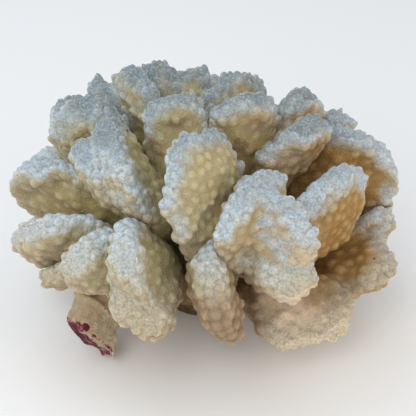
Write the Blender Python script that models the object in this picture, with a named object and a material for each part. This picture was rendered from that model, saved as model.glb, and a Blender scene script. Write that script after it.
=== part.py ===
"""Cauliflower coral skeleton: a cut holdfast with a domed core, and forked branches of flattened, knobbly blades.

Units are metres, +Z is up and the front of the coral faces -Y. The origin is the centre of the flat cut under the
holdfast. Every branch is one object: its blades are lofted from a shared root and joined by Boolean unions.
"""

from math import cos, pi, radians, sin, sqrt

import bpy
from mathutils import Matrix, Vector

MM = 0.001

# Driving dimensions, in millimetres
CENTRE = Vector((-9, -14, 38))  # the point that all branches radiate from
CORE_RADIUS = 32.0
GAP = 0.3  # between the core and each branch's root
CLEARANCE = 0.5  # between a branch and a neighbour it is cut back from
FOOT_WIDTH = 25.0  # half sizes of the flat cut, along X and Y
FOOT_DEPTH = 22.0
KNOB_HEIGHT = 1.7
BREAK_POINT = Vector((-56, -59, 8))  # on the slanting plane that leaves the stub's broken end
BREAK_NORMAL = Vector((0.54, 0.65, 0.53))  # from the plane into the stub
RING_POINTS = 12
SMALL_RING_POINTS = 10  # for blades under 23 mm in half width
BLADE_RINGS = (0.0, 0.22, 0.42, 0.6, 0.75, 0.87, 0.95, 0.99)


def blade(azimuth, elevation, reach, half_width, half_thickness, twist, curl=0.1, bend=None, root=None):
    """One blade. Its tip lies at azimuth (0 is the front, 90 the right side) and elevation, reach mm from the centre.

    The head's half sizes are in mm. Twist turns the head's ridge out of the horizontal, in degrees. Bend is the
    direction and distance of the point that pulls the blade's path aside; by default it lies above the root. Root
    is the blade's half width and half thickness where it leaves the core.
    """
    return {
        "tip": (azimuth, elevation, reach),
        "head": (half_width, half_thickness),
        "twist": twist,
        "curl": curl,
        "bend": bend,
        "root": root or (min(0.65 * half_width, 11.0), min(half_thickness, 6.5)),
    }


BRANCHES = {
    "top_branch": ((-40, 77), [blade(-32, 79, 89, 15, 7, 32)]),
    "top_right_branch": (
        (78, 71),
        [blade(54, 71, 94, 16, 7, -38, 0.2, bend=(89, 62, 50)), blade(135, 66, 89, 21, 6, 80)],
    ),
    "top_left_branch": (
        (-122, 63),
        [blade(-115, 70, 94, 17, 8, 63, bend=(-129, 57, 58)), blade(-119, 53, 97, 13, 6, 35)],
    ),
    "back_crown_branch": ((-178, 60), [blade(-150, 62, 94, 13, 6.5, 20), blade(-178, 64, 89, 10, 6, 0)]),
    "centre_front_branch": ((16, 40), [blade(-5, 55, 100, 24, 8, 63, 0.15, bend=(20, 31, 56), root=(12, 7))]),
    "left_crown_branch": (
        (-44, 46),
        [
            blade(-43, 54, 97, 22, 8, -40, bend=(-41, 47, 52), root=(12, 8)),
            blade(-57, 48, 93, 17, 9, -16, bend=(-48, 45, 52)),
        ],
    ),
    "left_shoulder_branch": ((-94, 38), [blade(-93, 53, 98, 21, 7, 66, 0.2), blade(-112, 46, 97, 11, 6, -27)]),
    "left_wing": ((-80, 18), [blade(-75, 34, 98, 25, 7, 52, -0.1, bend=(-77, 22, 55), root=(12, 6))]),
    "left_lower_wing": ((-62, -2), [blade(-57, 21, 98, 23, 7, 45, bend=(-61, 12, 55), root=(10, 6))]),
    "left_front_branch": ((-36, 12), [blade(-36, 21, 94, 16, 11, 62, root=(9, 6)), blade(-57, 6, 86, 9, 6, 39)]),
    "front_left_branch": (
        (-22, 11),
        [
            blade(-19, 24, 97, 20, 8, -69, bend=(-26, 16, 62), root=(9, 4.5)),
            blade(-14, 7, 94, 15, 8, -28, bend=(-24, 10, 62)),
        ],
    ),
    "front_branch": ((12, 6), [blade(6, 17, 95, 22, 9, -80, root=(12, 6))]),
    "front_right_branch": (
        (40, 24),
        [
            blade(17, 41, 97, 24, 8, 41, bend=(33, 26, 58), root=(12, 8)),
            blade(30, 36, 101, 26, 9, -77, bend=(34, 20, 62)),
            blade(28, 15, 94, 14, 9, -20, bend=(35, 17, 64)),
            blade(29, 30, 90, 12, 10, -66, bend=(34, 20, 62)),
        ],
    ),
    "lower_right_fan": ((42, -16), [blade(47, -7, 90, 24, 5, 19, bend=(55, -12, 56), root=(8, 5))]),
    "right_crown_branch": (
        (92, 44),
        [
            blade(90, 57, 97, 14, 7, -45, bend=(108, 47, 60)),
            blade(65, 53, 95, 16, 7, -22, bend=(90, 46, 62)),
        ],
    ),
    "right_shoulder_branch": (
        (113, 18),
        [
            blade(89, 32, 104, 24, 7, 84, bend=(98, 18, 72), root=(10, 6)),
            blade(104, 39, 99, 11, 7, -50, 0.2, bend=(108, 34, 70)),
        ],
    ),
    "right_front_branch": ((76, 12), [blade(61, 38, 99, 25, 7, -20, bend=(62, 8, 68), root=(10, 6))]),
    "right_wing": ((84, -15), [blade(71, 5, 99, 17, 7, 28, root=(10, 7)), blade(84, 13, 98, 8, 5, -73)]),
    "stub_branch": ((-50, -26), [blade(-42, -29, 79, 11, 9, -10, 0.0, bend=(-61, -5, 70), root=(8, 7))]),
    "back_branch": ((179, 25), [blade(166, 40, 95, 21, 8, 20, 0.2), blade(-176, 15, 96, 20, 8, -35)]),
    "back_right_branch": ((144, 25), [blade(129, 42, 96, 18, 8, -50, 0.2), blade(146, 10, 96, 20, 8, -50)]),
    "right_back_wing": ((120, -14), [blade(119, 10, 97, 16, 8, -60), blade(120, -11, 90, 18, 6, 15)]),
    "back_left_branch": ((-142, 22), [blade(-144, 39, 96, 19, 8, 50, 0.2), blade(-147, 10, 95, 20, 8, -40)]),
    "left_back_wing": ((-112, 2), [blade(-114, 21, 95, 17, 8, 62), blade(-110, -6, 90, 18, 6, -15)]),
    "lower_back_branch": ((172, -10), [blade(160, -12, 86, 19, 6, 10), blade(-170, -8, 84, 14, 6, -20)]),
}

# Where two branches grow into the same space, the first is cut back from these blades of the second
CUT_BACK = [
    ("left_wing", "left_crown_branch", (0, 1)),
    ("left_lower_wing", "left_front_branch", (0, 1)),
    ("left_front_branch", "front_left_branch", (0, 1)),
    ("left_crown_branch", "front_left_branch", (0,)),
    ("stub_branch", "left_lower_wing", (0,)),
    ("centre_front_branch", "front_right_branch", (0, 1)),
    ("centre_front_branch", "front_branch", (0,)),
    ("front_branch", "front_right_branch", (0, 2)),
    ("right_front_branch", "front_right_branch", (0, 1, 2, 3)),
    ("right_wing", "right_front_branch", (0,)),
    ("right_wing", "right_shoulder_branch", (0,)),
    ("right_wing", "lower_right_fan", (0,)),
    ("right_shoulder_branch", "right_crown_branch", (0, 1)),
    ("right_shoulder_branch", "right_front_branch", (0,)),
    ("right_back_wing", "right_shoulder_branch", (0, 1)),
    ("right_crown_branch", "top_right_branch", (0, 1)),
    ("top_right_branch", "top_branch", (0,)),
    ("top_left_branch", "top_branch", (0,)),
    ("back_crown_branch", "top_left_branch", (0,)),
]


def direction(azimuth, elevation):
    """Unit vector: azimuth 0 is the front (-Y), 90 the right side (+X); elevation is above the horizon."""
    a, e = radians(azimuth), radians(elevation)
    return Vector((sin(a) * cos(e), -cos(a) * cos(e), sin(e)))


def swell(point):
    """Slow waviness of the skeleton, about -1 to 1, at a point in millimetres."""
    x, y, z = point
    return sin(0.31 * x + 1.3) * sin(0.27 * y + 0.4) * sin(0.29 * z + 2.1) + 0.5 * sin(0.17 * x - 0.21 * y + 0.23 * z)


def blade_points(root, shape, first, growth=0.0):
    """Rings of points, in millimetres, of one blade lofted from the core to its head, and its tip point.

    Growth thickens the blade on every side, which makes the cutter that keeps a neighbour clear of it.
    """
    azimuth, elevation, reach = shape["tip"]
    half_width, half_thickness = shape["head"]
    out, start = direction(azimuth, elevation), direction(*root)
    level = Vector((0, 0, 1)).cross(out).normalized()
    rise = out.cross(level)
    ridge = level * cos(radians(shape["twist"])) + rise * sin(radians(shape["twist"]))
    foot = CENTRE + start * (CORE_RADIUS + GAP + (0.0 if first else 2.5))
    bend = CENTRE + start * (CORE_RADIUS + 0.38 * (reach - CORE_RADIUS))
    if shape["bend"]:
        bend_azimuth, bend_elevation, bend_reach = shape["bend"]
        bend = CENTRE + direction(bend_azimuth, bend_elevation) * bend_reach
    tip = CENTRE + out * reach
    length = (tip - foot).length
    head_start = 1 - min(0.45, 0.85 * half_width / length)
    edge_start = 1 - min(0.3, 1.1 * half_thickness / length)
    root_width, root_thickness = (size * (1.0 if first else 0.8) for size in shape["root"])
    count = SMALL_RING_POINTS if half_width < 23 else RING_POINTS
    rings = []
    for j, b in enumerate(BLADE_RINGS):
        centre = foot * (1 - b) ** 2 + bend * 2 * b * (1 - b) + tip * b * b
        along = ((bend - foot) * (1 - b) + (tip - bend) * b).normalized()
        if j == 0:
            along = start
        across = (ridge - along * ridge.dot(along)).normalized()
        face = along.cross(across)
        grown = b * b * (3 - 2 * b)
        wide = root_width + (half_width - root_width) * min(1.0, grown * 1.5)
        thick = root_thickness + (half_thickness - root_thickness) * grown
        if b > head_start:
            wide *= sqrt(max(0.0, 1 - ((b - head_start) / (1.002 - head_start)) ** 2.4))
        if b > edge_start:
            thick *= sqrt(max(0.0, 1 - ((b - edge_start) / (1.01 - edge_start)) ** 2))
        ring = []
        for i in range(count):
            angle = 2 * pi * i / count
            a, c = cos(angle), sin(angle)
            bow = shape["curl"] * wide * (a * a - 0.4) * grown
            point = centre + across * (a * wide) + face * (c * thick + bow)
            away = (across * (a / wide) + face * (c / thick)).normalized()
            knob = KNOB_HEIGHT * (0.75 if (i + j) % 2 else -0.35) * min(1.0, 2.5 * b)
            point += away * (growth + knob + 1.2 * swell(point) * min(1.0, 2 * b))
            if j == 0:
                point -= start * 6 * growth
            ring.append(point)
        rings.append(ring)
    return rings, tip + out * growth


def loft(name, rings, tip):
    """Closed mesh object from rings of points in millimetres: a cap under the first, a fan to the tip on the last."""
    points = [p * MM for ring in rings for p in ring] + [tip * MM]
    count = len(rings[0])
    faces = [tuple(range(count - 1, -1, -1))]
    for j in range(len(rings) - 1):
        for i in range(count):
            k = (i + 1) % count
            low, low_next = j * count + i, j * count + k
            high, high_next = (j + 1) * count + i, (j + 1) * count + k
            if (i + j) % 2:
                faces += [(low, low_next, high_next), (low, high_next, high)]
            else:
                faces += [(low, low_next, high), (low_next, high_next, high)]
    last = (len(rings) - 1) * count
    for i in range(count):
        faces.append((last + i, last + (i + 1) % count, len(points) - 1))
    mesh = bpy.data.meshes.new(name)
    mesh.from_pydata(points, [], faces)
    mesh.update()
    obj = bpy.data.objects.new(name, mesh)
    bpy.context.scene.collection.objects.link(obj)
    return obj


def combine(obj, other, operation):
    """Unites another solid with obj, or cuts it away, and keeps it only as a hidden guide."""
    modifier = obj.modifiers.new(operation.lower(), "BOOLEAN")
    modifier.operation = operation
    modifier.solver = "EXACT"
    modifier.object = other
    other.hide_render = True
    other.display_type = "WIRE"


def make_branch(name, material):
    root, blades = BRANCHES[name]
    parts = []
    for number, shape in enumerate(blades):
        rings, tip = blade_points(root, shape, number == 0)
        parts.append(loft(name if number == 0 else f"{name}_blade_{number + 1}", rings, tip))
    for other in parts[1:]:
        combine(parts[0], other, "UNION")
    for neighbour, numbers in [(second, numbers) for first, second, numbers in CUT_BACK if first == name]:
        root, blades = BRANCHES[neighbour]
        for number in numbers:
            rings, tip = blade_points(root, blades[number], number == 0, CLEARANCE)
            cutter = loft(f"{name}_clear_of_{neighbour}_{number + 1}", rings, tip)
            combine(parts[0], cutter, "DIFFERENCE")
    if name == "stub_branch":
        combine(parts[0], make_break_cutter(), "DIFFERENCE")
    parts[0].data.materials.append(material)
    return parts[0]


def make_break_cutter():
    """Box whose top face lies in the slanting plane of the stub's broken end."""
    bpy.ops.mesh.primitive_cube_add(size=1)
    cutter = bpy.context.object
    cutter.name = "stub_break_cutter"
    cutter.data.transform(Matrix.Diagonal((70, 70, 30, 1)))
    cutter.data.transform(Matrix.Translation((0, 0, -15)))
    cutter.data.transform(BREAK_NORMAL.to_track_quat("Z", "Y").to_matrix().to_4x4())
    cutter.data.transform(Matrix.Translation(BREAK_POINT))
    cutter.data.transform(Matrix.Scale(MM, 4))
    return cutter


def make_holdfast(material):
    """Foot and core in one turned body whose axis leans from the cut's centre to the branches' centre."""
    levels = (0, 8, 18, 29, 41, 53, 63)
    rings = []
    for j, z in enumerate(levels):
        lean = min(1.0, z / 18)
        ball = sqrt(max(0.0, CORE_RADIUS**2 - (z - CENTRE.z) ** 2))
        stump = max(0.0, 1 - z / 26)
        ring = []
        for i in range(14):
            angle = 2 * pi * (i + 0.5 * (j % 2)) / 14
            wide = max(ball, FOOT_WIDTH * (0.85 + 0.15 * stump) if stump else 0)
            deep = max(ball, FOOT_DEPTH * (0.85 + 0.15 * stump) if stump else 0)
            point = Vector((CENTRE.x * lean + wide * cos(angle), CENTRE.y * lean + deep * sin(angle), z))
            ring.append(point)
        rings.append(ring)
    obj = loft("holdfast", rings, Vector((CENTRE.x, CENTRE.y, CENTRE.z + CORE_RADIUS)))
    obj.data.materials.append(material)
    return obj


def make_material(name, colour, roughness):
    material = bpy.data.materials.new(name)
    material.use_nodes = True
    shader = material.node_tree.nodes["Principled BSDF"]
    shader.inputs["Base Color"].default_value = (*colour, 1)
    shader.inputs["Roughness"].default_value = roughness
    return material


def main():
    for obj in list(bpy.data.objects):
        bpy.data.objects.remove(obj)
    skeleton = make_material("coral_skeleton", (0.78, 0.72, 0.58), 0.8)
    base = make_material("coral_base", (0.42, 0.3, 0.17), 0.9)
    make_holdfast(base)
    for name in BRANCHES:
        make_branch(name, skeleton)


main()
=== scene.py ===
"""Dresses the cauliflower coral: each branch is regrown as one fused piece of skeleton with knobs, pores and stains.

Lengths in the growing functions are millimetres; meshes, lights and the camera are in metres like the frame.
"""

import bpy
import numpy as np
from mathutils import Matrix, Vector


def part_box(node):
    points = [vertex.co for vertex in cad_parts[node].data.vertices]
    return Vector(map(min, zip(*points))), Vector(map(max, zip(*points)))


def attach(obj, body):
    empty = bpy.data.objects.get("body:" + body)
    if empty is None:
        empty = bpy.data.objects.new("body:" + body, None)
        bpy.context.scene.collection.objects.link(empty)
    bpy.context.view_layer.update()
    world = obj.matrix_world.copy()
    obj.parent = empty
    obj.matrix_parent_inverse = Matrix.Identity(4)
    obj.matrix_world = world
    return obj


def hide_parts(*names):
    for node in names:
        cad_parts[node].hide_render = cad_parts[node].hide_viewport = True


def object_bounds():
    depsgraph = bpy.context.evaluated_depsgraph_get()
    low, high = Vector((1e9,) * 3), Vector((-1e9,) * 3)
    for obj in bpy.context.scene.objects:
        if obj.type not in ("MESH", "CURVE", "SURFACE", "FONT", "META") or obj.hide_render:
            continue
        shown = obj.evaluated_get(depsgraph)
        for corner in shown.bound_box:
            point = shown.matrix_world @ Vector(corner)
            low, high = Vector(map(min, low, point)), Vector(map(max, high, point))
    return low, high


MM = 0.001
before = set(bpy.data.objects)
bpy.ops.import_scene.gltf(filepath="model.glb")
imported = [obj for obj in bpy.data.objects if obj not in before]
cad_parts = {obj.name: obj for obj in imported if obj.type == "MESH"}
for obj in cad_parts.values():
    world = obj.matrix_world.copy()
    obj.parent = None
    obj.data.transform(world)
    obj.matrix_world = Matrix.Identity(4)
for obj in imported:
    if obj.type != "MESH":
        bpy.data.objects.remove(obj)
cad_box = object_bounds()

# ---------------------------------------------------------------------------------------------------------------
# Core and foot, the same as the solids'
# ---------------------------------------------------------------------------------------------------------------
CORE_RADIUS = 32.0
CORE_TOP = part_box("holdfast")[1].z / MM
CENTRE = np.array([-9.0, -14.0, CORE_TOP - CORE_RADIUS])  # the point all branches radiate from
FOOT_WIDTH, FOOT_DEPTH = 25.0, 22.0  # half sizes of the flat cut
STUMP_HEIGHT = 26.0  # the stump's reach up from the cut
STUMP_WAIST, STUMP_FLARE = 0.85, 0.15  # its narrowest share of the foot's size, and what it gains down to the cut
LEAN_HEIGHT = 18.0  # the foot leans over to the core's axis by this height
CORE_LUMPS = ((1.6, 13.0, 21), (0.8, 6.0, 22))  # height, size and seed of each layer, as in all lumps here
CORE_SUNK = 0.9  # the smooth core lies this far inside its box, which its lumps and knobs fill
CORE_KNOB_RISE = 0.8
POLE_GAP = 0.4  # from the core's last row to its top
FLAT_BELOW = 0.7  # points lower than this are put on the flat cut
LUMPS_START, KNOBS_START = (0.0, 6.0), (1.5, 6.0)  # heights over which the foot's lumps and knobs begin

# Blades: their middle line and section
ROOT_DEPTH = 5.0  # how far a branch's root reaches into the core
ROOT_SPREAD = 1.35  # roots run together here, where the solids keep a gap
ROOT_LIFT, SECOND_LIFT = 0.3, 2.5  # roots start this far above the core, and a branch's later blades further up
SECOND_ROOT = 0.85  # size of a later blade's root
BEND_SHARE = 0.38  # of the way out from the core, where a blade with no bend point of its own bends
SIDES_CLOSE, FACES_CLOSE = (0.45, 0.85), (0.3, 1.1)  # from the tip: the longest share of the line, and half sizes
WIDENING = 1.5  # a blade is fully wide before it is fully thick
SKIRT = 2.6  # how much thicker a blade is a third of the way up, where neighbours' flanks run together
SKIRTS = {"front_left_branch": 5.2, "right_front_branch": 4.0, "left_front_branch": 4.0}
SKIRT_WIDTH = 1.5  # how much wider it is there

# Blades: the relief of their faces
KNOB_MEAN = 0.34  # mean lift of the solids' own knobs
SUNK = 1.0  # the smooth body lies this far inside the knobs' mean height
SWELLING = 1.2  # height of the solids' slow waviness
FACE_LUMPS = ((2.0, 12.0, 3), (0.9, 6.0, 8))
RIBS, RIBS_OF_FAN = 0.4, 1.0  # relief of the ribs along the faces
FAN_THICKNESS = 5.0  # half thickness of a blade thin enough to be ribbed like the fan
RIB_SPACING = 6.5
RIB_WANDER = ((2.0, 20.0, 14),)  # in radians of the ribs' cosine

# Skins
FINE_VOXEL, COARSE_VOXEL = 0.80, 1.18  # of the branches in front, and of the core and the hidden branches
CLOSING = 2.5  # blades are fused this much too thick and drawn in again, which rounds out the creases between them
SKIN_ROUNDS, CORE_ROUNDS = 6, 3  # of smoothing, on a newly fused skin
DRAWN_ROUNDS, LIFTED_ROUNDS = 4, 1  # of relaxing, after a skin is drawn in and after its knobs are raised
BOX_BAND = 1.2  # points this close to the solids' box are eased
HIDDEN = (
    "back_branch",
    "back_right_branch",
    "right_back_wing",
    "back_left_branch",
    "left_back_wing",
    "lower_back_branch",
)

# Knobs
KNOB_SPACING = 4.3  # between two knobs' centres
FLANK_SPACING, RIM_CLOSER = 1.12, 0.16  # in KNOB_SPACINGs: on the flanks, and how much closer on a rim
SPACING_LUMPS = ((0.15, 18.0, 31),)
STRETCH = 0.5  # distance along the growth counts sqrt(1 - STRETCH) as much, which makes knobs longer that way
CLOSEST = 0.86  # no two knobs' centres are nearer than this, in their spacings
MOST_KNOBS = 4000  # on one piece
BEAD_RISE, FINGER_RISE = 1.4, 2.2  # of the flanks' beads and the rims' fingers
CREST_FALL = 0.65  # how much lower fingers are on the middle of a crest
LOW_KNOBS, KNOBS_GROW = 0.35, (2.0, 18.0)  # share of their height at the core, and where they grow to all of it
STUB_KNOBS = 0.35  # share of their height on the worn stub
RIM_BAND = 14.0  # how far from a rim line the white froth and fingers reach
RIM_BANDS = {
    "left_shoulder_branch": 30.0,
    "left_crown_branch": 17.0,
    "right_front_branch": 19.0,
    "front_right_branch": 15.0,
    "front_left_branch": 17.0,
    "lower_right_fan": 30.0,
}
RIM_REACH = (50.0, 76.0)  # rims are marked only from here outwards, fully from the second distance
GOLDEN_GLOW_SIDE = (25.0, 50.0)  # across to the right, where the faces with a painted golden glow begin
GOLDEN_LOSS = 14.0  # how much further out rims begin there
DEPTH_BAND = (6.0, 32.0)  # distance from the rim line over which a flank's painted shade deepens
BRANCH_LENGTH = 66.0  # from the core to the farthest tips

# The stub's broken end
BREAK_POINT = np.array([-56.0, -59.0, 8.0])  # on the slanting plane that leaves the broken end
BREAK_NORMAL = np.array([0.54, 0.65, 0.53]) / np.linalg.norm([0.54, 0.65, 0.53])  # from the plane into the stub
COLLARS = ((2.4, 14.0, 2.0), (1.3, 20.0, 1.6))  # rise, height above the break, and breadth
COLLAR_WANDER = ((2.0, 9.0, 43),)
BREAK_LUMPS = ((2.0, 6.0, 41),)
CRUST_REACH = 9.0  # how far above the break its crust goes

# Crowding, which the finish paints as shade
CROWD_CELL, CROWD_PAD = 2.5, 12  # a cell's size, and the empty cells round the coral
CROWD_LOOKS = (7.0, 14.0)  # how far out from the skin the crowding is read
CROWD_RANGE = (0.10, 0.75)  # from open to shut in

# Finish colours, linear
# Rim white in two copies: bluish as painted skylight, and cream where no painted skylight falls
RIM_SKYLIT_WHITE = (0.48, 0.58, 0.675)
RIM_UNSKYLIT_CREAM = (0.48, 0.42, 0.29)
# Painted shade with a painted bluish skylight tint, for the upward faces at the top of the crown
SKYLIT_TOP_SHADE = (0.21, 0.28, 0.325)
WALL_WHITE = (0.72, 0.74, 0.74)
# Painted glow that lightens the grooves between knobs on the rims
GROOVE_GLOW_CREAM = (0.60, 0.55, 0.40)
GROOVE_GLOW_WHITE = (0.64, 0.67, 0.66)
CREAM = (0.46, 0.40, 0.23)
# Painted warm light on the flanks of the right side
WARM_GLOW_CREAM = (0.37, 0.23, 0.08)
# Painted shade for hollows: olive, and amber with a painted warm glow on the right
OLIVE_HOLLOW_SHADE = (0.46, 0.37, 0.11)
AMBER_GLOW_SHADE = (0.27, 0.105, 0.005)
TAN = (0.46, 0.355, 0.235)
# The fan's pale tan, made brighter than its own colour as painted light against the shade it lies in
FAN_PAINTED_LIGHT_TAN = (0.92, 0.77, 0.60)
BROWN_TAN = (0.26, 0.17, 0.09)
PALE_KNOB = (0.49, 0.445, 0.285)
# Painted warm light on the knobs of the right side
WARM_GLOW_KNOB = (0.45, 0.32, 0.15)
PALE_TAN = (0.50, 0.42, 0.315)
PORE_TAN = (0.30, 0.25, 0.18)
DARK_HOLE = (0.05, 0.035, 0.02)
BASE_BROWN = (0.20, 0.12, 0.05)
# Painted shade round the core, under the branches
CORE_SHADE_OLIVE = (0.08, 0.062, 0.03)
CRUST_PURPLE = (0.10, 0.008, 0.022)
CRUST_PINK = (0.42, 0.20, 0.21)
FLOOR_DARKER, FLOOR_LIGHTER = (0.895, 0.885, 0.872), (0.915, 0.905, 0.892)

# Sizes of the finishes' patterns, mm
PATCHES, FINE_PATCHES = 14.0, 3.0
BASE_PATCHES = 9.0
PORES, BASE_PORES = 1.25, 1.5
PINHOLES = 24.0  # between the few dark holes
FLAKES = 7.0  # of the purple crust
GRAIN, BASE_GRAIN, FLOOR_TOOTH = 1.1, 1.6, 2.0
LIGHT_DEPTH = 5.0  # how far light goes into the skeleton

MIX_SOCKETS, MIX_RESULT = (0, 6, 7), 2  # a Mix node's factor and its two colours, and the colour it gives

# Camera, lights and floor
CAMERA_ELEVATION = 28.0
CAMERA_DISTANCE = 650.0
CAMERA_AIM = (6.5, 18.5)  # right of and above the centre the branches radiate from
CAMERA_LENS, SENSOR_WIDTH = 112.5, 36.0
SIGHT_END = 50.0  # metres
FLOOR_REACH = 6.0  # metres each way from the middle
WORLD_COLOUR, WORLD_STRENGTH = (0.93, 0.96, 1.0), 0.70
LIGHTS = [  # name, place and diameter in metres, watts, colour
    ("front_window", (-0.35, -1.0, 0.75), 0.8, 6.5, (1.0, 0.99, 0.97)),
    ("back_sky", (-0.5, 0.3, 1.1), 1.0, 3.0, (0.70, 0.85, 1.0)),
    ("warm_side", (0.9, -0.9, 0.4), 0.8, 3.2, (1.0, 0.82, 0.6)),
]


def blade(azimuth, elevation, reach, half_width, half_thickness, twist, curl=0.1, bend=None, root=None):
    """One blade's numbers: tip direction and reach, head half sizes, twist of the ridge, curl, bend point, root."""
    return {
        "tip": (azimuth, elevation, reach),
        "head": (half_width, half_thickness),
        "twist": twist,
        "curl": curl,
        "bend": bend,
        "root": root or (min(0.65 * half_width, 11.0), min(half_thickness, 6.5)),
    }


BRANCHES = {
    "top_branch": ((-40, 77), [blade(-32, 79, 89, 15, 7, 32)]),
    "top_right_branch": (
        (78, 71),
        [blade(54, 71, 94, 16, 7, -38, 0.2, bend=(89, 62, 50)), blade(135, 66, 89, 21, 6, 80)],
    ),
    "top_left_branch": (
        (-122, 63),
        [blade(-115, 70, 94, 17, 8, 63, bend=(-129, 57, 58)), blade(-119, 53, 97, 13, 6, 35)],
    ),
    "back_crown_branch": ((-178, 60), [blade(-150, 62, 94, 13, 6.5, 20), blade(-178, 64, 89, 10, 6, 0)]),
    "centre_front_branch": ((16, 40), [blade(-5, 55, 100, 24, 8, 63, 0.15, bend=(20, 31, 56), root=(12, 7))]),
    "left_crown_branch": (
        (-44, 46),
        [
            blade(-43, 54, 97, 22, 8, -40, bend=(-41, 47, 52), root=(12, 8)),
            blade(-57, 48, 93, 17, 9, -16, bend=(-48, 45, 52)),
        ],
    ),
    "left_shoulder_branch": ((-94, 38), [blade(-93, 53, 98, 21, 7, 66, 0.2), blade(-112, 46, 97, 11, 6, -27)]),
    "left_wing": ((-80, 18), [blade(-75, 34, 98, 25, 7, 52, -0.1, bend=(-77, 22, 55), root=(12, 6))]),
    "left_lower_wing": ((-62, -2), [blade(-57, 21, 98, 23, 7, 45, bend=(-61, 12, 55), root=(10, 6))]),
    "left_front_branch": ((-36, 12), [blade(-36, 21, 94, 16, 11, 62, root=(9, 6)), blade(-57, 6, 86, 9, 6, 39)]),
    "front_left_branch": (
        (-22, 11),
        [
            blade(-19, 24, 97, 20, 8, -69, bend=(-26, 16, 62), root=(9, 4.5)),
            blade(-14, 7, 94, 15, 8, -28, bend=(-24, 10, 62)),
        ],
    ),
    "front_branch": ((12, 6), [blade(6, 17, 95, 22, 9, -80, root=(12, 6))]),
    "front_right_branch": (
        (40, 24),
        [
            blade(17, 41, 97, 24, 8, 41, bend=(33, 26, 58), root=(12, 8)),
            blade(30, 36, 101, 26, 9, -77, bend=(34, 20, 62)),
            blade(28, 15, 94, 14, 9, -20, bend=(35, 17, 64)),
            blade(29, 30, 90, 12, 10, -66, bend=(34, 20, 62)),
        ],
    ),
    "lower_right_fan": ((42, -16), [blade(47, -7, 90, 24, 5, 19, bend=(55, -12, 56), root=(8, 5))]),
    "right_crown_branch": (
        (92, 44),
        [
            blade(90, 57, 97, 14, 7, -45, bend=(108, 47, 60)),
            blade(65, 53, 95, 16, 7, -22, bend=(90, 46, 62)),
        ],
    ),
    "right_shoulder_branch": (
        (113, 18),
        [
            blade(89, 32, 104, 24, 7, 84, bend=(98, 18, 72), root=(10, 6)),
            blade(104, 39, 99, 11, 7, -50, 0.2, bend=(108, 34, 70)),
        ],
    ),
    "right_front_branch": ((76, 12), [blade(61, 38, 99, 25, 7, -20, bend=(62, 8, 68), root=(10, 6))]),
    "right_wing": ((84, -15), [blade(71, 5, 99, 17, 7, 28, root=(10, 7)), blade(84, 13, 98, 8, 5, -73)]),
    "stub_branch": ((-50, -26), [blade(-42, -29, 79, 11, 9, -10, 0.0, bend=(-61, -5, 70), root=(8, 7))]),
    "back_branch": ((179, 25), [blade(166, 40, 95, 21, 8, 20, 0.2), blade(-176, 15, 96, 20, 8, -35)]),
    "back_right_branch": ((144, 25), [blade(129, 42, 96, 18, 8, -50, 0.2), blade(146, 10, 96, 20, 8, -50)]),
    "right_back_wing": ((120, -14), [blade(119, 10, 97, 16, 8, -60), blade(120, -11, 90, 18, 6, 15)]),
    "back_left_branch": ((-142, 22), [blade(-144, 39, 96, 19, 8, 50, 0.2), blade(-147, 10, 95, 20, 8, -40)]),
    "left_back_wing": ((-112, 2), [blade(-114, 21, 95, 17, 8, 62), blade(-110, -6, 90, 18, 6, -15)]),
    "lower_back_branch": ((172, -10), [blade(160, -12, 86, 19, 6, 10), blade(-170, -8, 84, 14, 6, -20)]),
}


def direction(azimuth, elevation):
    """Unit vector: azimuth 0 is the front (-Y), 90 the right side (+X); elevation is above the horizon."""
    a, e = np.radians(azimuth), np.radians(elevation)
    return np.array([np.sin(a) * np.cos(e), -np.cos(a) * np.cos(e), np.sin(e)])


def unit(vectors):
    """Each vector divided by its length."""
    return vectors / np.maximum(np.linalg.norm(vectors, axis=-1, keepdims=True), 1e-9)


def smooth_step(values, low, high):
    """0 below low, 1 above high, and the cubic 3t^2 - 2t^3 between them."""
    t = np.clip((values - low) / (high - low), 0.0, 1.0)
    return t * t * (3 - 2 * t)


def lattice_value(corners, seed):
    """A repeatable value from 0 to 1 for each whole-numbered corner: the fraction of a large sine."""
    mixed = corners[..., 0] * 127.1 + corners[..., 1] * 311.7 + corners[..., 2] * 74.7 + seed * 53.3
    return np.modf(np.abs(np.sin(mixed) * 43758.5453))[0]


def lumps(points, size, seed):
    """Smooth lumps from -1 to 1: a value at each corner of a lattice of the given size, cubic weights between."""
    scaled = points / size
    corner = np.floor(scaled)
    t = scaled - corner
    t = t * t * (3 - 2 * t)
    total = 0.0
    for dx in (0, 1):
        for dy in (0, 1):
            for dz in (0, 1):
                weight = (
                    (t[..., 0] if dx else 1 - t[..., 0])
                    * (t[..., 1] if dy else 1 - t[..., 1])
                    * (t[..., 2] if dz else 1 - t[..., 2])
                )
                total = total + weight * lattice_value(corner + (dx, dy, dz), seed)
    return total * 2 - 1


def relief(points, layers):
    """Sum of lumps, one layer for each (height, size, seed)."""
    return sum(height * lumps(points, size, seed) for height, size, seed in layers)


def swell(points):
    """The solids' slow waviness, about -1 to 1: a product of three sines plus half of a slanting sine."""
    x, y, z = points[..., 0], points[..., 1], points[..., 2]
    product = np.sin(0.31 * x + 1.3) * np.sin(0.27 * y + 0.4) * np.sin(0.29 * z + 2.1)
    return product + 0.5 * np.sin(0.17 * x - 0.21 * y + 0.23 * z)


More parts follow.
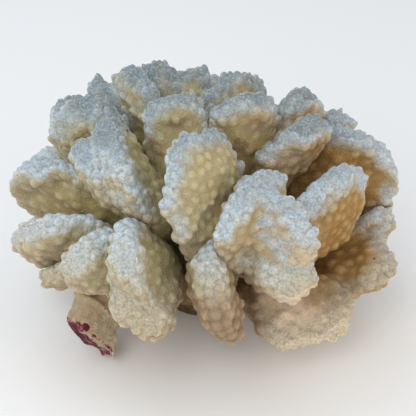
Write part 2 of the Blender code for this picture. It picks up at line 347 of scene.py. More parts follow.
def blade_surface(root, shape, first, skirt_depth, rows=44, columns=48):
    """Grid of points of one blade, its end pole, and the line of its rim.

    Row b runs from root (0) to tip (1) along the curve foot (1-b)^2 + bend 2b(1-b) + tip b^2, and rows crowd towards
    the tip as 1 - (1-t)^1.7. A column is an angle around the section, an ellipse of half sizes wide(b) and thick(b)
    that grow from the root's to the head's as 3b^2 - 2b^3. The skirt adds to both, times 6.75 b (1-b)^2, which is 1
    at a third of the way. Near the tip s goes from 0 to about 1: the sides close as (1 - s^2.4)^(1/2) and the faces
    as (1 - s^2)^(1/2). The section is bowed by curl wide (cos^2 - 0.4), and pushed outwards by slow lumps, by ribs,
    a cosine across the face that run along the growth, and by CLOSING, which comes off again after the fusing. The
    outward directions lean along the growth near the tip.
    """
    azimuth, elevation, reach = shape["tip"]
    half_width, half_thickness = shape["head"]
    out, start = direction(azimuth, elevation), direction(*root)
    level = unit(np.cross((0.0, 0.0, 1.0), out))
    rise = np.cross(out, level)
    ridge = level * np.cos(np.radians(shape["twist"])) + rise * np.sin(np.radians(shape["twist"]))
    foot = CENTRE + start * (CORE_RADIUS + ROOT_LIFT + (0.0 if first else SECOND_LIFT))
    bend = CENTRE + start * (CORE_RADIUS + BEND_SHARE * (reach - CORE_RADIUS))
    if shape["bend"]:
        bend = CENTRE + direction(*shape["bend"][:2]) * shape["bend"][2]
    tip = CENTRE + out * reach
    length = np.linalg.norm(tip - foot)
    sides_start = 1 - min(SIDES_CLOSE[0], SIDES_CLOSE[1] * half_width / length)
    faces_start = 1 - min(FACES_CLOSE[0], FACES_CLOSE[1] * half_thickness / length)
    root_width, root_thickness = (size * ROOT_SPREAD * (1.0 if first else SECOND_ROOT) for size in shape["root"])

    t = np.linspace(0.0, 1.0, rows)
    b = (1 - (1 - t) ** 1.7)[:, None] * 0.9995
    line = foot * (1 - b) ** 2 + bend * 2 * b * (1 - b) + tip * b * b
    along = unit((bend - foot) * (1 - b) + (tip - bend) * b)
    across = unit(ridge - along * (along @ ridge)[:, None])
    face = np.cross(along, across)
    grown = b * b * (3 - 2 * b)
    wide = root_width + (half_width - root_width) * np.minimum(1.0, grown * WIDENING)
    skirt = 6.75 * b * (1 - b) ** 2
    wide = wide + SKIRT_WIDTH * skirt
    thick = root_thickness + (half_thickness - root_thickness) * grown + skirt_depth * skirt
    wide *= np.sqrt(np.clip(1 - (np.clip(b - sides_start, 0, 1) / (1.002 - sides_start)) ** 2.4, 0.0, 1.0))
    thick *= np.sqrt(np.clip(1 - (np.clip(b - faces_start, 0, 1) / (1.01 - faces_start)) ** 2, 0.0, 1.0))

    angle = np.linspace(0.0, 2 * np.pi, columns, endpoint=False)[None, :]
    a, c = np.cos(angle), np.sin(angle)
    bow = shape["curl"] * wide * (a * a - 0.4) * grown
    points = line[:, None] + across[:, None] * (a * wide)[..., None] + face[:, None] * (c * thick + bow)[..., None]
    away = unit(
        across[:, None] * (a / np.maximum(wide, 0.5))[..., None]
        + face[:, None] * (c / np.maximum(thick, 0.5))[..., None]
        + along[:, None] * smooth_step(b, 0.9, 1.0)[..., None] * 0.3
    )
    lift = KNOB_MEAN - SUNK + SWELLING * swell(points) * np.minimum(1.0, 2 * b)
    lift = lift + smooth_step(b, 0.1, 0.5) * relief(points, FACE_LUMPS)
    ribs = np.cos(2 * np.pi * a * half_width / RIB_SPACING + relief(points, RIB_WANDER)) * (1 - a * a) * grown
    lift = lift + (RIBS_OF_FAN if half_thickness <= FAN_THICKNESS else RIBS) * ribs
    points = points + away * (lift + CLOSING)[..., None]
    points[0] -= start * ROOT_DEPTH
    grown_part = points[t > 0.25]
    rim = np.concatenate([grown_part[:, 0], grown_part[:, columns // 2]])
    return points, tip + out * (CLOSING - SUNK), rim


def holdfast_surface(rows=56, columns=96):
    """Grid of the foot and core and its end pole.

    At height z the section is an ellipse, the wider of a ball about the centre, (r^2 - (z - c)^2)^(1/2), and a short
    stump over the cut. The stump narrows from the foot's size in a straight line. The sections' middles go in a
    straight line from the cut's middle to the core's axis.
    """
    z = np.linspace(0.0, CENTRE[2] + CORE_RADIUS - POLE_GAP, rows)[:, None]
    angle = np.linspace(0.0, 2 * np.pi, columns, endpoint=False)[None, :]
    lean = np.minimum(1.0, z / LEAN_HEIGHT)
    ball = np.sqrt(np.clip(CORE_RADIUS**2 - (z - CENTRE[2]) ** 2, 0.0, None))
    stump = np.clip(1 - z / STUMP_HEIGHT, 0.0, 1.0)
    share = STUMP_WAIST + STUMP_FLARE * stump
    wide = np.maximum(ball, np.where(stump > 0, FOOT_WIDTH * share, 0.0))
    deep = np.maximum(ball, np.where(stump > 0, FOOT_DEPTH * share, 0.0))
    x = CENTRE[0] * lean + wide * np.cos(angle)
    y = CENTRE[1] * lean + deep * np.sin(angle)
    points = np.stack([x, y, z + 0 * angle], axis=-1)
    middle = np.stack([CENTRE[0] * lean, CENTRE[1] * lean, z], axis=-1)
    away = unit(points - middle)
    lift = relief(points, CORE_LUMPS) * smooth_step(z, *LUMPS_START) - CORE_SUNK
    return points + away * lift[..., None], np.array([CENTRE[0], CENTRE[1], CENTRE[2] + CORE_RADIUS - CORE_SUNK])


def shell_faces(rows, columns, offset):
    """Quads of a closed grid, with its first row joined to a pole below and its last row to a pole above."""
    j, i = np.meshgrid(np.arange(rows - 1), np.arange(columns), indexing="ij")
    k = (i + 1) % columns
    quads = np.stack([j * columns + i, j * columns + k, (j + 1) * columns + k, (j + 1) * columns + i], axis=-1)
    first, last = rows * columns, rows * columns + 1
    ring, following = np.arange(columns), (np.arange(columns) + 1) % columns
    low = np.stack([following, ring, np.full(columns, first)], axis=-1)
    top = (rows - 1) * columns
    high = np.stack([top + ring, top + following, np.full(columns, last)], axis=-1)
    return (quads.reshape(-1, 4) + offset).tolist() + (np.concatenate([low, high]) + offset).tolist()


def fused_mesh(name, grids, voxel, softening):
    """Fuses closed grids, each (points, end pole), into one skin: their voxels' outer surface, gently smoothed."""
    points, faces, offset = [], [], 0
    for grid, end in grids:
        rows, columns = grid.shape[:2]
        start = grid[0].mean(axis=0)
        points += [grid.reshape(-1, 3), start[None], end[None]]
        faces += shell_faces(rows, columns, offset)
        offset += rows * columns + 2
    mesh = bpy.data.meshes.new(name + "_shells")
    mesh.from_pydata((np.concatenate(points) * MM).tolist(), [], faces)
    obj = bpy.data.objects.new(name + "_shells", mesh)
    bpy.context.scene.collection.objects.link(obj)
    remesh = obj.modifiers.new("fuse", "REMESH")
    remesh.mode = "VOXEL"
    remesh.voxel_size = voxel * MM
    soften = obj.modifiers.new("soften", "SMOOTH")
    soften.factor = 0.5
    soften.iterations = softening
    bpy.context.view_layer.update()
    fused = bpy.data.meshes.new_from_object(obj.evaluated_get(bpy.context.evaluated_depsgraph_get()))
    fused.name = name
    bpy.data.objects.remove(obj)
    bpy.data.meshes.remove(mesh)
    return fused


def read_points(mesh):
    """Vertex positions (mm) and normals of a mesh as whole arrays."""
    points = np.empty(len(mesh.vertices) * 3, dtype=np.float32)
    mesh.vertices.foreach_get("co", points)
    normals = np.empty(len(mesh.vertices) * 3, dtype=np.float32)
    mesh.vertex_normals.foreach_get("vector", normals)
    return points.reshape(-1, 3).astype(float) / MM, normals.reshape(-1, 3).astype(float)


def relax(mesh, points, rounds):
    """Moves every point half way to the mean of its neighbours, several times over."""
    ends = np.empty(2 * len(mesh.edges), dtype=np.int32)
    mesh.edges.foreach_get("vertices", ends)
    ends = ends.reshape(-1, 2)
    here, there = ends.ravel(), ends[:, ::-1].ravel()
    count = np.bincount(here, minlength=len(points))[:, None]
    for _ in range(rounds):
        sums = [np.bincount(here, weights=points[there, axis], minlength=len(points)) for axis in range(3)]
        points = (points + np.stack(sums, axis=-1) / count) / 2
    return points


def write_attribute(mesh, name, values):
    """Keeps one number from 0 to 1 for each point of a mesh, for its finish to read."""
    layer = mesh.attributes.new(name, "FLOAT", "POINT")
    layer.data.foreach_set("value", np.clip(values, 0.0, 1.0).astype(np.float32))


def scatter_knobs(points, growth, spacing, start):
    """Spreads knob centres, from the point numbered start, by always taking the point farthest from those taken.

    Distance is shortened along the local growth direction, so knobs are longer that way. Returns each point's
    distance to its nearest centre, in spacings, and that centre's number.
    """
    taken = start
    nearest = np.full(len(points), np.inf)
    owner = np.zeros(len(points), dtype=int)
    for count in range(MOST_KNOBS):
        gap = points - points[taken]
        along = gap @ growth[taken]
        distance = np.sqrt(np.maximum((gap * gap).sum(axis=1) - STRETCH * along * along, 0.0)) / spacing
        closer = distance < nearest
        nearest[closer] = distance[closer]
        owner[closer] = count
        taken = int(nearest.argmax())
        if nearest[taken] < CLOSEST:
            break
    return nearest, owner


def distance_to_line(points, line):
    """Distance from each point to the nearest of a line's points."""
    best = np.full(len(points), np.inf)
    for spot in line:
        best = np.minimum(best, ((points - spot) ** 2).sum(axis=1))
    return np.sqrt(best)


def grow_knobs(points, normals, growth, rims, spacing, seed):
    """Raises a knob round each scattered centre and returns the lift and the knob height, 0 to 1.

    At t spacings from its centre a flank's bead is exp(-(t/0.4)^3) high. A rim's finger is (1 - (t/w)^2)^0.75 high,
    w from 0.56 to 0.7, and leans outwards along the growth direction. Each knob has its own random size, and fingers
    on the middle of a crest, whose skin faces straight outwards, are lower.
    """
    start = int(lattice_value(np.array([seed, 1.0, 2.0]), 5) * 1000)
    nearest, owner = scatter_knobs(points, growth, spacing, start)
    own = lattice_value(np.stack([owner * 1.0, owner * 0.0 + seed, owner * 0.0], axis=-1), 9)
    finger = np.clip(1 - (nearest / (0.56 + 0.14 * own)) ** 2, 0.0, 1.0) ** 0.75
    bead = np.exp(-((nearest / 0.40) ** 3)) * (0.3 + 0.7 * smooth_step(own, 0.0, 0.6))
    edge = smooth_step(rims, 0.3, 0.95)
    crest = smooth_step((normals * growth).sum(axis=1), 0.7, 0.97)
    finger_rise = FINGER_RISE * (0.5 + 1.0 * own) * (1 - CREST_FALL * crest)
    rise = finger_rise * finger * edge + BEAD_RISE * bead * (1 - edge)
    lean = unit(normals * (0.9 - 0.45 * edge)[:, None] + growth * (0.35 + 0.35 * edge)[:, None])
    return lean * rise[:, None], finger * edge + bead * (1 - edge)


def crowding(points, normals, cloud, weights):
    """How shut in each point is, from 0: the amount of skin in the space before it.

    The cloud of all pieces' points is counted in cells with its weights, spread by three running means of 5 cells
    along each axis, and read by linear weights at two distances out along the point's normal.
    """
    low = cloud.min(axis=0) - CROWD_PAD * CROWD_CELL
    shape = np.ceil((cloud.max(axis=0) + CROWD_PAD * CROWD_CELL - low) / CROWD_CELL).astype(int) + 2
    index = np.floor((cloud - low) / CROWD_CELL).astype(int)
    flat = np.ravel_multi_index(tuple(index.T), shape)
    grid = np.bincount(flat, weights=weights, minlength=int(np.prod(shape))).reshape(shape)
    for axis in range(3):
        for _ in range(3):
            total = np.cumsum(grid, axis=axis)
            grid = np.maximum((np.roll(total, -2, axis=axis) - np.roll(total, 3, axis=axis)) / 5, 0.0)
    result = 0.0
    for distance in CROWD_LOOKS:
        spot = np.clip((points + normals * distance - low) / CROWD_CELL - 0.5, 0, np.array(shape) - 2.001)
        corner = np.floor(spot).astype(int)
        t = spot - corner
        for step in np.ndindex(2, 2, 2):
            weight = np.prod(np.where(step, t, 1 - t), axis=1)
            result = result + weight * grid[tuple((corner + step).T)] / (CROWD_CELL * CROWD_CELL)
    return result / len(CROWD_LOOKS)


def hold_in_box(points):
    """Eases points near the solids' box, at its top and its four sides, so that none leaves it.

    A point that goes d past a line one band inside the box ends up band * exp(-d / band) inside it.
    """
    low, high = (np.array(corner) / MM for corner in cad_box)
    over = np.clip(points - (high - BOX_BAND), 0.0, None)
    points = np.where(over > 0, high - BOX_BAND * np.exp(-over / BOX_BAND), points)
    under = np.clip((low + BOX_BAND) - points, 0.0, None)
    sideways = np.array([True, True, False])
    return np.where((under > 0) & sideways, low + BOX_BAND * np.exp(-under / BOX_BAND), points)


def set_points(mesh, points):
    """Puts points in millimetres into a mesh and shades it smooth."""
    mesh.vertices.foreach_set("co", (points * MM).astype(np.float32).ravel())
    mesh.update()
    mesh.polygons.foreach_set("use_smooth", np.ones(len(mesh.polygons), dtype=bool))


def add_piece(name, mesh, node, finish):
    """A mesh as a piece of the coral that stands for one solid."""
    mesh.materials.append(finish)
    piece = bpy.data.objects.new(name, mesh)
    bpy.context.scene.collection.objects.link(piece)
    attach(piece, "root")
    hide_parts(node)
    return piece


def grow_branch(node, finish):
    """One branch: its blades fused, drawn in, covered in knobs, and broken off where it is the stub.

    The fused skin is CLOSING too thick, so each point goes in by that much along its normal. Relaxing then evens
    out the points that come close together in the creases and at thin tips.
    """
    root, blades = BRANCHES[node]
    skirt = SKIRTS.get(node, SKIRT)
    grids = [blade_surface(root, shape, number == 0, skirt) for number, shape in enumerate(blades)]
    voxel = COARSE_VOXEL if node in HIDDEN else FINE_VOXEL
    mesh = fused_mesh(node + "_grown", [(grid, end) for grid, end, _ in grids], voxel, SKIN_ROUNDS)
    points, normals = read_points(mesh)
    points = relax(mesh, points - normals * CLOSING, DRAWN_ROUNDS)
    growth = unit(points - CENTRE)
    reach = np.linalg.norm(points - CENTRE, axis=1)

    rim_distance = distance_to_line(points, np.concatenate([rim for _, _, rim in grids]))
    band = RIM_BANDS.get(node, RIM_BAND)
    rims = 1 - smooth_step(rim_distance, CLOSING, band + CLOSING)
    golden_loss = smooth_step(points[:, 0], *GOLDEN_GLOW_SIDE) * GOLDEN_LOSS
    rims = rims * smooth_step(reach - golden_loss, *RIM_REACH)

    spacing = KNOB_SPACING * (FLANK_SPACING - RIM_CLOSER * rims) * (1 + relief(points, SPACING_LUMPS))
    lift, dome = grow_knobs(points, normals, growth, rims, spacing, float(sorted(BRANCHES).index(node)))
    grown_out = smooth_step(reach, CORE_RADIUS + KNOBS_GROW[0], CORE_RADIUS + KNOBS_GROW[1])
    lift = lift * (LOW_KNOBS + (1 - LOW_KNOBS) * grown_out)[:, None]
    broken = np.zeros(len(points))
    if node == "stub_branch":
        points, broken = break_end(points + lift * STUB_KNOBS, normals)
    else:
        points = relax(mesh, points + lift, LIFTED_ROUNDS)
    set_points(mesh, hold_in_box(points))
    write_attribute(mesh, "knob", dome)
    write_attribute(mesh, "rim", rims)
    # How deep into a flank from its rim, which the finish paints as shade
    write_attribute(mesh, "shade_depth", smooth_step(rim_distance, *DEPTH_BAND))
    # Which way the skin faces, which the finish turns into painted skylight and painted shade
    write_attribute(mesh, "sky", normals[:, 2] * 0.5 + 0.5)
    write_attribute(mesh, "reach", (reach - CORE_RADIUS) / BRANCH_LENGTH)
    write_attribute(mesh, "broken", broken)
    piece = add_piece(node + "_grown", mesh, node, finish)
    return piece, points, normals, voxel


def break_end(points, normals):
    """Adds growth collars round the stub, flattens what lies past its ragged break, and marks the band above it.

    A collar is a ring rise * exp(-((h - c)/w)^2) high at height c along the break plane's normal. The break is that
    plane with lumps on it. The mark is 1 at the break and falls to 0 at the crust's reach.
    """
    height = (points - BREAK_POINT) @ BREAK_NORMAL + relief(points, COLLAR_WANDER)
    rings = sum(rise * np.exp(-(((height - middle) / breadth) ** 2)) for rise, middle, breadth in COLLARS)
    points = points + normals * rings[:, None]
    height = (points - BREAK_POINT) @ BREAK_NORMAL - relief(points, BREAK_LUMPS)
    points = points - BREAK_NORMAL * np.minimum(height, 0.0)[:, None]
    return points, 1 - smooth_step(height, 0.0, CRUST_REACH)


def grow_holdfast(finish):
    """The foot and core, fused from one grid and covered in low, worn knobs (1 - (t/0.6)^2)^(1/2) high."""
    grid, end = holdfast_surface()
    mesh = fused_mesh("holdfast_grown", [(grid, end)], COARSE_VOXEL, CORE_ROUNDS)
    points, normals = read_points(mesh)
    growth = unit(points - CENTRE)
    nearest, _ = scatter_knobs(points, growth, np.full(len(points), KNOB_SPACING), start=7)
    dome = np.sqrt(np.clip(1 - (nearest / 0.6) ** 2, 0.0, 1.0))
    points = points + normals * (CORE_KNOB_RISE * dome * smooth_step(points[:, 2], *KNOBS_START))[:, None]
    points[:, 2] = np.where(points[:, 2] < FLAT_BELOW, 0.0, points[:, 2])
    set_points(mesh, points)
    write_attribute(mesh, "knob", dome)
    write_attribute(mesh, "sky", normals[:, 2] * 0.5 + 0.5)
    piece = add_piece("holdfast_grown", mesh, "holdfast", finish)
    return piece, points, normals, COARSE_VOXEL


def mark_crowding(grown):
    """Writes on every piece how shut in each of its points is, from all pieces together, for the finish to paint
    shade by.
    """
    cloud = np.concatenate([points for _, points, _, _ in grown])
    weights = np.concatenate([np.full(len(points), voxel * voxel) for _, points, _, voxel in grown])
    for piece, points, normals, _ in grown:
        shut = crowding(points, normals, cloud, weights)
        write_attribute(piece.data, "shut", smooth_step(shut, *CROWD_RANGE))


# ---------------------------------------------------------------------------------------------------------------
# Finishes
# ---------------------------------------------------------------------------------------------------------------
class Field:
    """A socket of a finish; arithmetic on it adds Math nodes."""

    def __init__(self, finish, socket):
        self.finish = finish
        self.socket = socket

    def math(self, operation, *values, clamp=False):
        return self.finish.node("Math", {"operation": operation, "use_clamp": clamp}, dict(enumerate(values)))

    def __add__(self, other):
        return self.math("ADD", self, other)

    def __radd__(self, other):
        return self.math("ADD", other, self)

    def __sub__(self, other):
        return self.math("SUBTRACT", self, other)

    def __rsub__(self, other):
        return self.math("SUBTRACT", other, self)

    def __mul__(self, other):
        return self.math("MULTIPLY", self, other)

    def __rmul__(self, other):
        return self.math("MULTIPLY", other, self)

    def __truediv__(self, other):
        return self.math("DIVIDE", self, other)

    def __rtruediv__(self, other):
        return self.math("DIVIDE", other, self)

    def clamped(self):
        """Kept between 0 and 1."""
        return self.math("ADD", self, 0.0, clamp=True)

    def between(self, low, high):
        """0 at low, 1 at high, and smooth between them; low may be the greater of the two."""
        settings = {"interpolation_type": "SMOOTHSTEP"}
        return self.finish.node("MapRange", settings, {"Value": self, "From Min": low, "From Max": high})


class Finish:
    """One node material on a Principled shader."""

    def __init__(self, name):
        self.material = bpy.data.materials.new(name)
        self.material.use_nodes = True
        self.tree = self.material.node_tree
        self.shader = self.tree.nodes["Principled BSDF"]
        self.place = self.node("TexCoord", output="Object")

    def node(self, kind, settings=None, inputs=None, output=0):
        """Adds a node with its settings and the values or links of its sockets, and gives back one output."""
        made = self.tree.nodes.new("ShaderNode" + kind)
        for key, value in (settings or {}).items():
            setattr(made, key, value)
        for key, value in (inputs or {}).items():
            self.feed(made.inputs[key], value)
        return Field(self, made.outputs[output])

    def feed(self, socket, value):
        if isinstance(value, Field):
            self.tree.links.new(value.socket, socket)
        else:
            socket.default_value = value

    def attribute(self, name):
        """A number kept on the piece's points."""
        return self.node("Attribute", {"attribute_name": name}, output="Fac")

    def noise(self, size, detail=2.0, roughness=0.5):
        """Noise whose lumps are about size mm."""
        inputs = {"Vector": self.place, "Scale": 1000.0 / size, "Detail": detail, "Roughness": roughness}
        return self.node("TexNoise", inputs=inputs, output="Fac")

    def cells(self, size):
        """Distance to the nearest of points scattered about size mm apart, in their spacings."""
        inputs = {"Vector": self.place, "Scale": 1000.0 / size}
        return self.node("TexVoronoi", inputs=inputs, output="Distance")

    def mix(self, low, high, factor):
        """Colour low where factor is 0 and high where it is 1."""
        low, high = ((*c, 1.0) if isinstance(c, tuple) else c for c in (low, high))
        settings = {"data_type": "RGBA", "clamp_factor": True}
        return self.node("Mix", settings, dict(zip(MIX_SOCKETS, (factor, low, high))), output=MIX_RESULT)

    def bump(self, height, distance, strength=1.0, under=None):
        """Tilts the surface as if height stood up by distance mm, on top of another bump."""
        inputs = {"Height": height, "Distance": distance * MM, "Strength": strength}
        if under:
            inputs["Normal"] = under
        return self.node("Bump", inputs=inputs)

    def along(self, axis):
        """Object coordinate along X, Y or Z, in metres."""
        return self.node("SeparateXYZ", inputs={0: self.place}, output=axis)


def skeleton_finish():
    """Cleaned skeleton: bluish white on the rims as painted skylight, cream knobs, painted olive to amber shade in
    hollows, tan low down, dark pores.
    """
    f = Finish("coral_skeleton_finish")
    knob, rim, shade_depth = f.attribute("knob"), f.attribute("rim"), f.attribute("shade_depth")
    reach, sky, shut = f.attribute("reach"), f.attribute("sky"), f.attribute("shut")
    broken = f.attribute("broken")
    x, y, z = (f.along(axis) for axis in "XYZ")
    patches = f.noise(PATCHES, 3.0)
    fine = f.noise(FINE_PATCHES, 3.0)

    # Sides and heights, each a mask from 0 to 1. Slope is the sine of a point's elevation seen from the centre.
    uneven = patches - 0.5
    slope = (z - float(CENTRE[2]) * MM) / (reach * (BRANCH_LENGTH * MM) + CORE_RADIUS * MM) + 0.1 * uneven
    # Painted warm light: the right side is tinted warmer, as by a warm bounce and glow through the skeleton
    warm_side = (x + 0.03 * uneven).between(-0.02, 0.06)
    front = (y + 0.02 * uneven).between(-0.035, -0.07)
    fan_side = x.between(0.016, 0.034)
    not_fan_side = 1 - fan_side
    fan_zone = fan_side * slope.between(0.0, -0.12) * x.between(0.075, 0.06)
    # Painted golden glow and shade on the right front faces: deeper amber in hollows, less white
    golden_glow_side = (x + 0.02 * uneven).between(0.03, 0.055) * y.between(-0.08, -0.06) * (1 - fan_zone)
    low_down = slope.between(0.36, 0.06)
    very_low = slope.between(0.16, -0.02)
    near_floor = z.between(0.042, 0.015)
    # Skin facing down, which the finish paints in shade: tan to brown and less white
    under = (sky + 0.2 * uneven).between(0.55, 0.25)

    # A brown stain low down, whole within 10 mm of a plane from front to back and gone at 22 mm, as squares
    off_middle = x - 0.004
    stain = slope.between(0.5, 0.16) * (off_middle * off_middle).between(0.0005, 0.0001) * 0.9

    # Flanks: cream, with painted shade deepening in hollows to olive on the left and amber on the right, less of it
    # on the front, and tan low down
    # Tan: the tan skin low down, with painted shade where the skin faces down
    tan = (low_down + under * 0.7).clamped() * (1 - golden_glow_side)
    # Painted shade from how shut in and how deep in a flank a point is, less on the front, plus random patches
    hollow_shade = shut * 0.62 * (1 - front * 0.85) + shade_depth * 0.5 * (1 - front) + uneven * 0.4
    hollow_shade = (hollow_shade + golden_glow_side * shade_depth * 0.4).clamped()
    pale = f.mix(CREAM, WARM_GLOW_CREAM, warm_side)
    # The painted shade colour of hollows: olive on the left, amber on the right
    deep = f.mix(OLIVE_HOLLOW_SHADE, AMBER_GLOW_SHADE, warm_side)
    ground = f.mix(pale, deep, hollow_shade)
    # Brown: painted shade where the skin faces down, less on the front, plus the brown stain and browner skin low
    # down and near the floor
    brown = (under * 0.8 * (1 - front * 0.6) + stain) * (1 - fan_side * 0.95)
    brown = (brown + low_down * not_fan_side * 0.12 + near_floor * not_fan_side * 0.5).clamped()
    low_tan = f.mix(f.mix(TAN, FAN_PAINTED_LIGHT_TAN, fan_side), BROWN_TAN, brown)
    ground = f.mix(ground, low_tan, (tan * 0.8 + stain).clamped())
    bead = f.mix(f.mix(PALE_KNOB, WARM_GLOW_KNOB, warm_side), PALE_TAN, tan)
    flank = f.mix(ground, bead, knob * (0.75 - hollow_shade * 0.2 + golden_glow_side * 0.1 - stain * 0.45))

    # Rims: white froth, with painted light on it: cream where it is sheltered, painted bluish skylight where it is
    # open, and painted shade greying the top of the crown
    # Whiteness is partly the froth's own white on the rims and random patches, and partly painted light: more where
    # the skin faces up, less where it is shut in, deep in a flank or faces down
    whiteness = rim * 0.9 + (sky - 0.5) * 0.4 + (knob - 0.5) * (0.35 - rim * 0.25) + uneven * 0.5
    whiteness = (whiteness - shut * 0.45 - shade_depth * 0.3 - 0.11).between(-0.1, 0.95) * (1 - tan * 0.5)
    whiteness = whiteness * (1 - (under * 0.5 + very_low * 0.6 * not_fan_side + stain).clamped())
    whiteness = whiteness * (1 - golden_glow_side * slope.between(0.35, 0.12) * 0.5)
    # Painted bluish skylight on open rims that face up
    skylight_tint = (sky + 0.3 * uneven).between(0.2, 0.6) * rim.between(0.15, 0.8)
    skylight_tint = skylight_tint * (1 - slope.between(0.62, 0.12) * (front * 0.7 + 0.15))
    # Painted shade on the high faces that look up
    painted_top_shade = sky.between(0.4, 0.95) * z.between(0.08, 0.115) * (0.65 + 0.35 * y.between(-0.066, -0.052))
    white = f.mix(f.mix(RIM_UNSKYLIT_CREAM, RIM_SKYLIT_WHITE, skylight_tint), SKYLIT_TOP_SHADE, painted_top_shade)
    body = f.mix(flank, white, whiteness * (0.8 + knob * 0.2))
    # Painted glow in the grooves, against the shade that falls there
    groove_glow = f.mix(GROOVE_GLOW_CREAM, GROOVE_GLOW_WHITE, skylight_tint)
    body = f.mix(body, groove_glow, whiteness * (1 - knob) * (1 - painted_top_shade) * 0.4)

    # Pores: a bright dot in the middle of each cell of the froth, a dark gap between cells, and a few pinholes
    cell = f.cells(PORES)
    dots = cell.between(0.45, 0.15)
    gaps = cell.between(0.5, 0.8)
    pore_depth = (rim * 0.5 + 0.3 + (fine - 0.5) * 1.5).clamped() * gaps
    body = f.mix(body, PORE_TAN, pore_depth * 0.5)
    body = f.mix(body, WALL_WHITE, dots * whiteness * 0.4)
    pinholes = f.cells(PINHOLES).between(0.036, 0.022)
    body = f.mix(body, DARK_HOLE, pinholes * 0.8)

    # Roots: painted shade in dark olive round the core where it is shut in, and brown towards the foot
    core = reach.between(0.32, 0.10) * z.between(0.03, 0.05)
    body = f.mix(body, CORE_SHADE_OLIVE, core * shut.between(0.2, 0.8) * 0.95)
    base_stain = reach.between(0.30, 0.02) * z.between(0.075, 0.03)
    body = f.mix(body, BASE_BROWN, (base_stain * (0.6 + patches * 0.8)).clamped() * 0.85)

    # Flaking purple crust on the stub's break
    crust = (broken + (f.noise(FLAKES, 3.0) - 0.5) * 2.2).between(0.78, 0.9)
    body = f.mix(body, f.mix(CRUST_PURPLE, CRUST_PINK, fine.between(0.5, 0.75)), crust)

    f.feed(f.shader.inputs["Base Color"], body)
    f.feed(f.shader.inputs["Roughness"], 0.82 - knob * 0.12)
    grain = f.bump(f.noise(GRAIN, 2.0), 0.12, 0.6)
    f.feed(f.shader.inputs["Normal"], f.bump(dots * 0.6 - pore_depth, 0.42, under=grain))
    f.shader.inputs["Subsurface Weight"].default_value = 1.0
    f.shader.inputs["Subsurface Radius"].default_value = (1.0, 0.75, 0.5)
    f.shader.inputs["Subsurface Scale"].default_value = LIGHT_DEPTH * MM
    f.shader.inputs["Specular IOR Level"].default_value = 0.25
    return f.material


def base_finish():
    """Foot and core: brown and rough, paler on top of its worn knobs, dark in patches and pores, painted shade in
    olive high up.
    """
    f = Finish("coral_base_finish")
    knob, sky = f.attribute("knob"), f.attribute("sky")
    z = f.along("Z")
    patches = f.noise(BASE_PATCHES, 4.0, 0.6)
    colour = f.mix(DARK_HOLE, BASE_BROWN, patches.between(0.25, 0.6))
    # Painted shade: dark olive on the upper core under the branches
    colour = f.mix(colour, CORE_SHADE_OLIVE, z.between(0.03, 0.06))
    colour = f.mix(colour, TAN, knob * patches.between(0.45, 0.75) * 0.5)
    pores = f.cells(BASE_PORES).between(0.34, 0.12)
    colour = f.mix(colour, DARK_HOLE, pores * 0.5)
    f.feed(f.shader.inputs["Base Color"], colour)
    f.feed(f.shader.inputs["Roughness"], 0.9 - sky * 0.05)
    f.feed(f.shader.inputs["Normal"], f.bump(f.noise(BASE_GRAIN, 3.0) - pores * 0.5, 0.4, 0.8))
    f.shader.inputs["Specular IOR Level"].default_value = 0.2
    return f.material


def floor_finish():
    """Plain pale matt card with a barely visible tooth."""
    f = Finish("pale_floor_finish")
    tooth = f.noise(FLOOR_TOOTH, 2.0)
    f.feed(f.shader.inputs["Base Color"], f.mix(FLOOR_DARKER, FLOOR_LIGHTER, tooth))
    f.shader.inputs["Roughness"].default_value = 0.95
    f.shader.inputs["Specular IOR Level"].default_value = 0.1
    return f.material


# ---------------------------------------------------------------------------------------------------------------
# Floor, light and camera
# ---------------------------------------------------------------------------------------------------------------
def add_floor():
    """Flat square floor under the cut: one quad."""
    r = FLOOR_REACH
    mesh = bpy.data.meshes.new("floor")
    mesh.from_pydata([(-r, -r, 0.0), (r, -r, 0.0), (r, r, 0.0), (-r, r, 0.0)], [], [(0, 1, 2, 3)])
    mesh.materials.append(floor_finish())
    floor = bpy.data.objects.new("floor", mesh)
    bpy.context.scene.collection.objects.link(floor)


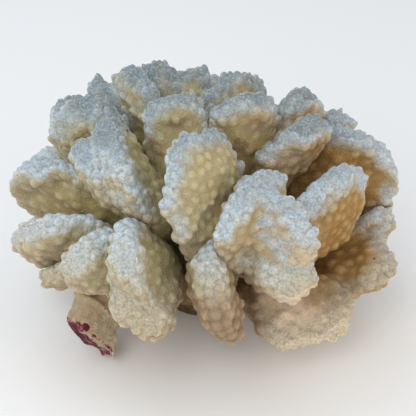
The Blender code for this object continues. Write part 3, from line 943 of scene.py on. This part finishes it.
def add_light(name, place, aim, size, energy, colour):
    """Round soft light of the given diameter in metres, turned towards a point."""
    lamp = bpy.data.lights.new(name, "AREA")
    lamp.shape = "DISK"
    lamp.size = size
    lamp.energy = energy
    lamp.color = colour
    obj = bpy.data.objects.new(name, lamp)
    obj.location = place
    obj.rotation_euler = (Vector(aim) - Vector(place)).to_track_quat("-Z", "Y").to_euler()
    bpy.context.scene.collection.objects.link(obj)


def add_world(colour, strength):
    """Even soft light from all round."""
    world = bpy.data.worlds.new("soft_room")
    world.use_nodes = True
    background = world.node_tree.nodes["Background"]
    background.inputs["Color"].default_value = (*colour, 1.0)
    background.inputs["Strength"].default_value = strength
    bpy.context.scene.world = world


def add_camera():
    """Looks down at the front from CAMERA_ELEVATION degrees, at a point right of and above the core's centre."""
    tilt = np.radians(CAMERA_ELEVATION)
    right = np.array([1.0, 0.0, 0.0])
    up = np.array([0.0, np.sin(tilt), np.cos(tilt)])
    back = np.array([0.0, -np.cos(tilt), np.sin(tilt)])
    target = CENTRE + CAMERA_AIM[0] * right + CAMERA_AIM[1] * up
    place = (target + CAMERA_DISTANCE * back) * MM
    lens = bpy.data.cameras.new("front_camera")
    lens.lens = CAMERA_LENS
    lens.sensor_width = SENSOR_WIDTH
    lens.clip_end = SIGHT_END
    camera = bpy.data.objects.new("front_camera", lens)
    rows = [(right[i], up[i], back[i], place[i]) for i in range(3)] + [(0.0, 0.0, 0.0, 1.0)]
    camera.matrix_world = Matrix(rows)
    bpy.context.scene.collection.objects.link(camera)
    bpy.context.scene.camera = camera


def main():
    """Camera, light and floor, then the holdfast and every branch, and last how shut in their points are."""
    bpy.context.scene.view_settings.view_transform = "Standard"
    add_camera()
    add_world(WORLD_COLOUR, WORLD_STRENGTH)
    for name, place, size, energy, colour in LIGHTS:
        add_light(name, place, tuple(CENTRE * MM), size, energy, colour)
    add_floor()
    skeleton = skeleton_finish()
    grown = [grow_holdfast(base_finish())] + [grow_branch(node, skeleton) for node in BRANCHES]
    mark_crowding(grown)


main()
